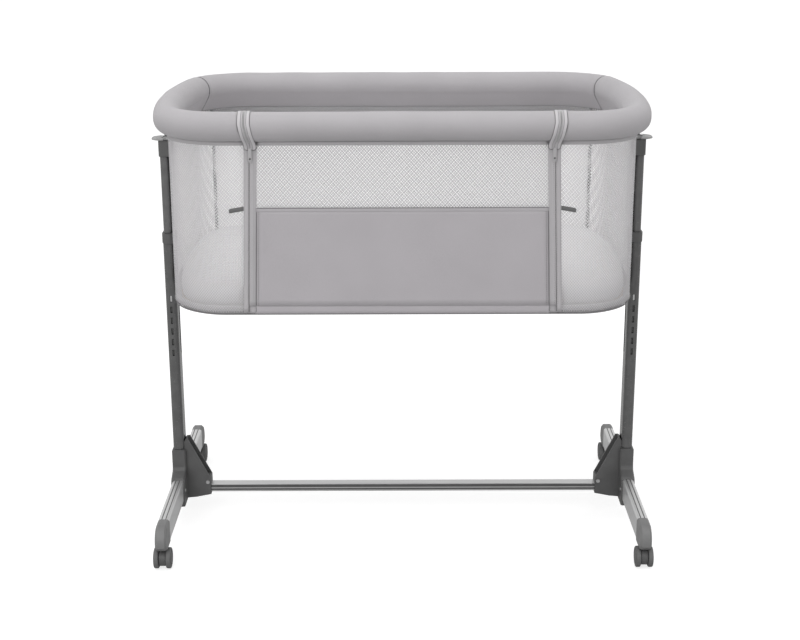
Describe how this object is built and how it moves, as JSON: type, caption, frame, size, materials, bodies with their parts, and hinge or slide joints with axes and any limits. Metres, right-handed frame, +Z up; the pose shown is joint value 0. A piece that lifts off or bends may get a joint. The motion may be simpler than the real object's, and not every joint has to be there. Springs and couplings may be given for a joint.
{
  "type": "bedside sleeper crib",
  "caption": "Height-adjustable bedside sleeper crib: padded rim, mesh basket with fold-down front panel, telescopic uprights, feet with twin-wheel casters.",
  "frame": {"origin": "on the floor under the centre of the crib", "axes": "+X to the right along the long side, +Y from the fold-down front to the back, +Z up"},
  "size_m": [0.96, 0.584, 0.871],
  "materials": {
    "dark_frame_metal": "satin",
    "dark_plastic": "satin",
    "mid_grey_plastic": "satin",
    "satin_aluminium": "satin",
    "grey_tube_metal": "satin",
    "light_grey_plastic": "satin",
    "steel": "satin",
    "zip_metal": "satin",
    "wheel_plastic": "matte",
    "grey_fabric": "matte",
    "mesh_fabric": "matte",
    "base_fabric": "matte",
    "dark_webbing": "matte",
    "board_wood": "matte",
    "mattress_fabric": "matte"
  },
  "bodies": {
    "stand": {"lower_tube_left": "dark_frame_metal", "lower_tube_right": "dark_frame_metal", "tube_collar_left": "dark_plastic", "tube_collar_right": "dark_plastic", "foot_bracket_left": "dark_plastic", "foot_bracket_right": "dark_plastic", "foot_bar_left": "satin_aluminium", "foot_bar_right": "satin_aluminium", "foot_cap_front_left": "mid_grey_plastic", "foot_cap_front_right": "mid_grey_plastic", "foot_cap_back_left": "mid_grey_plastic", "foot_cap_back_right": "mid_grey_plastic", "cross_bar": "satin_aluminium", "bracket_screws": "steel"},
    "basket": {"rim_tube": "steel", "rim_pad_left": "grey_fabric", "rim_pad_back": "grey_fabric", "rim_pad_right": "grey_fabric", "mesh_left": "mesh_fabric", "mesh_back": "mesh_fabric", "mesh_right": "mesh_fabric", "zip_band_left": "grey_fabric", "zip_band_right": "grey_fabric", "webbing_tabs": "dark_webbing", "base_tray": "base_fabric", "base_board": "board_wood", "base_ring": "dark_frame_metal", "base_bracket_left": "dark_plastic", "base_bracket_right": "dark_plastic", "inner_tube_left": "grey_tube_metal", "inner_tube_right": "grey_tube_metal", "top_housing_left": "dark_plastic", "top_housing_right": "dark_plastic", "lever_pins": "steel"},
    "front_panel": {"front_panel": "grey_fabric", "front_mesh": "mesh_fabric", "zip_tape_left": "grey_fabric", "zip_tape_right": "grey_fabric", "front_rail_pad": "grey_fabric", "front_rail_rod": "steel"},
    "mattress": {"mattress": "mattress_fabric"},
    "zip_slider_left": {"zip_slider_left": "zip_metal"},
    "release_lever_left": {"release_lever_left": "light_grey_plastic"},
    "release_wire_left": {"release_wire_left": "steel"},
    "lock_tongue_left": {"lock_tongue_left": "steel"},
    "zip_slider_right": {"zip_slider_right": "zip_metal"},
    "release_lever_right": {"release_lever_right": "light_grey_plastic"},
    "release_wire_right": {"release_wire_right": "steel"},
    "lock_tongue_right": {"lock_tongue_right": "steel"},
    "caster_fork_front_left": {"caster_fork_front_left": "dark_plastic"},
    "caster_wheels_front_left": {"caster_wheels_front_left": "wheel_plastic"},
    "caster_fork_front_right": {"caster_fork_front_right": "dark_plastic"},
    "caster_wheels_front_right": {"caster_wheels_front_right": "wheel_plastic"},
    "caster_fork_back_left": {"caster_fork_back_left": "dark_plastic"},
    "caster_wheels_back_left": {"caster_wheels_back_left": "wheel_plastic"},
    "caster_fork_back_right": {"caster_fork_back_right": "dark_plastic"},
    "caster_wheels_back_right": {"caster_wheels_back_right": "wheel_plastic"}
  },
  "joints": [
    {"name": "height_slide", "type": "slide", "parent": "stand", "child": "basket", "axis": [0, 0, 1], "range_m": [-0.1115, 0]},
    {"name": "front_panel_hinge", "type": "hinge", "parent": "basket", "child": "front_panel", "pos_m": [0, -0.2662, 0.51715], "axis": [1, 0, 0], "range_deg": [0, 170]},
    {"name": "mattress_lift", "type": "slide", "parent": "basket", "child": "mattress", "axis": [0, 0, 1], "range_m": [0, 0.25]},
    {"name": "zip_slide_left", "type": "slide", "parent": "front_panel", "child": "zip_slider_left", "axis": [0, 0, -1], "range_m": [0, 0.247]},
    {"name": "lever_hinge_left", "type": "hinge", "parent": "basket", "child": "release_lever_left", "pos_m": [-0.449, 0, 0.779], "axis": [0, 1, 0], "range_deg": [0, 13], "stiffness_Nm_per_rad": 0.001, "springref_deg": 34.38},
    {"name": "wire_slide_left", "type": "slide", "parent": "basket", "child": "release_wire_left", "axis": [0, 0, 1], "range_m": [0, 0.0024], "stiffness_N_per_m": 60, "springref_m": -0.003},
    {"name": "tongue_slide_left", "type": "slide", "parent": "basket", "child": "lock_tongue_left", "axis": [0, 1, 0], "range_m": [0, 0.0024]},
    {"name": "zip_slide_right", "type": "slide", "parent": "front_panel", "child": "zip_slider_right", "axis": [0, 0, -1], "range_m": [0, 0.247]},
    {"name": "lever_hinge_right", "type": "hinge", "parent": "basket", "child": "release_lever_right", "pos_m": [0.449, 0, 0.779], "axis": [0, -1, 0], "range_deg": [0, 13], "stiffness_Nm_per_rad": 0.001, "springref_deg": 34.38},
    {"name": "wire_slide_right", "type": "slide", "parent": "basket", "child": "release_wire_right", "axis": [0, 0, 1], "range_m": [0, 0.0024], "stiffness_N_per_m": 60, "springref_m": -0.003},
    {"name": "tongue_slide_right", "type": "slide", "parent": "basket", "child": "lock_tongue_right", "axis": [0, 1, 0], "range_m": [0, 0.0024]},
    {"name": "caster_swivel_front_left", "type": "hinge", "parent": "stand", "child": "caster_fork_front_left", "pos_m": [-0.456, -0.25, 0.04], "axis": [0, 0, 1], "continuous": true},
    {"name": "wheel_spin_front_left", "type": "hinge", "parent": "caster_fork_front_left", "child": "caster_wheels_front_left", "pos_m": [-0.456, -0.265, 0.02], "axis": [1, 0, 0], "continuous": true},
    {"name": "caster_swivel_front_right", "type": "hinge", "parent": "stand", "child": "caster_fork_front_right", "pos_m": [0.456, -0.25, 0.04], "axis": [0, 0, 1], "continuous": true},
    {"name": "wheel_spin_front_right", "type": "hinge", "parent": "caster_fork_front_right", "child": "caster_wheels_front_right", "pos_m": [0.456, -0.265, 0.02], "axis": [1, 0, 0], "continuous": true},
    {"name": "caster_swivel_back_left", "type": "hinge", "parent": "stand", "child": "caster_fork_back_left", "pos_m": [-0.456, 0.25, 0.04], "axis": [0, 0, 1], "continuous": true},
    {"name": "wheel_spin_back_left", "type": "hinge", "parent": "caster_fork_back_left", "child": "caster_wheels_back_left", "pos_m": [-0.456, 0.265, 0.02], "axis": [1, 0, 0], "continuous": true},
    {"name": "caster_swivel_back_right", "type": "hinge", "parent": "stand", "child": "caster_fork_back_right", "pos_m": [0.456, 0.25, 0.04], "axis": [0, 0, 1], "continuous": true},
    {"name": "wheel_spin_back_right", "type": "hinge", "parent": "caster_fork_back_right", "child": "caster_wheels_back_right", "pos_m": [0.456, 0.265, 0.02], "axis": [1, 0, 0], "continuous": true}
  ],
  "couplings": [
    {"joint": "lever_hinge_left", "follows": "wire_slide_left", "rad_per_m": 94.5},
    {"joint": "tongue_slide_left", "follows": "wire_slide_left", "ratio": 1},
    {"joint": "lever_hinge_right", "follows": "wire_slide_right", "rad_per_m": 94.5},
    {"joint": "tongue_slide_right", "follows": "wire_slide_right", "ratio": 1}
  ]
}
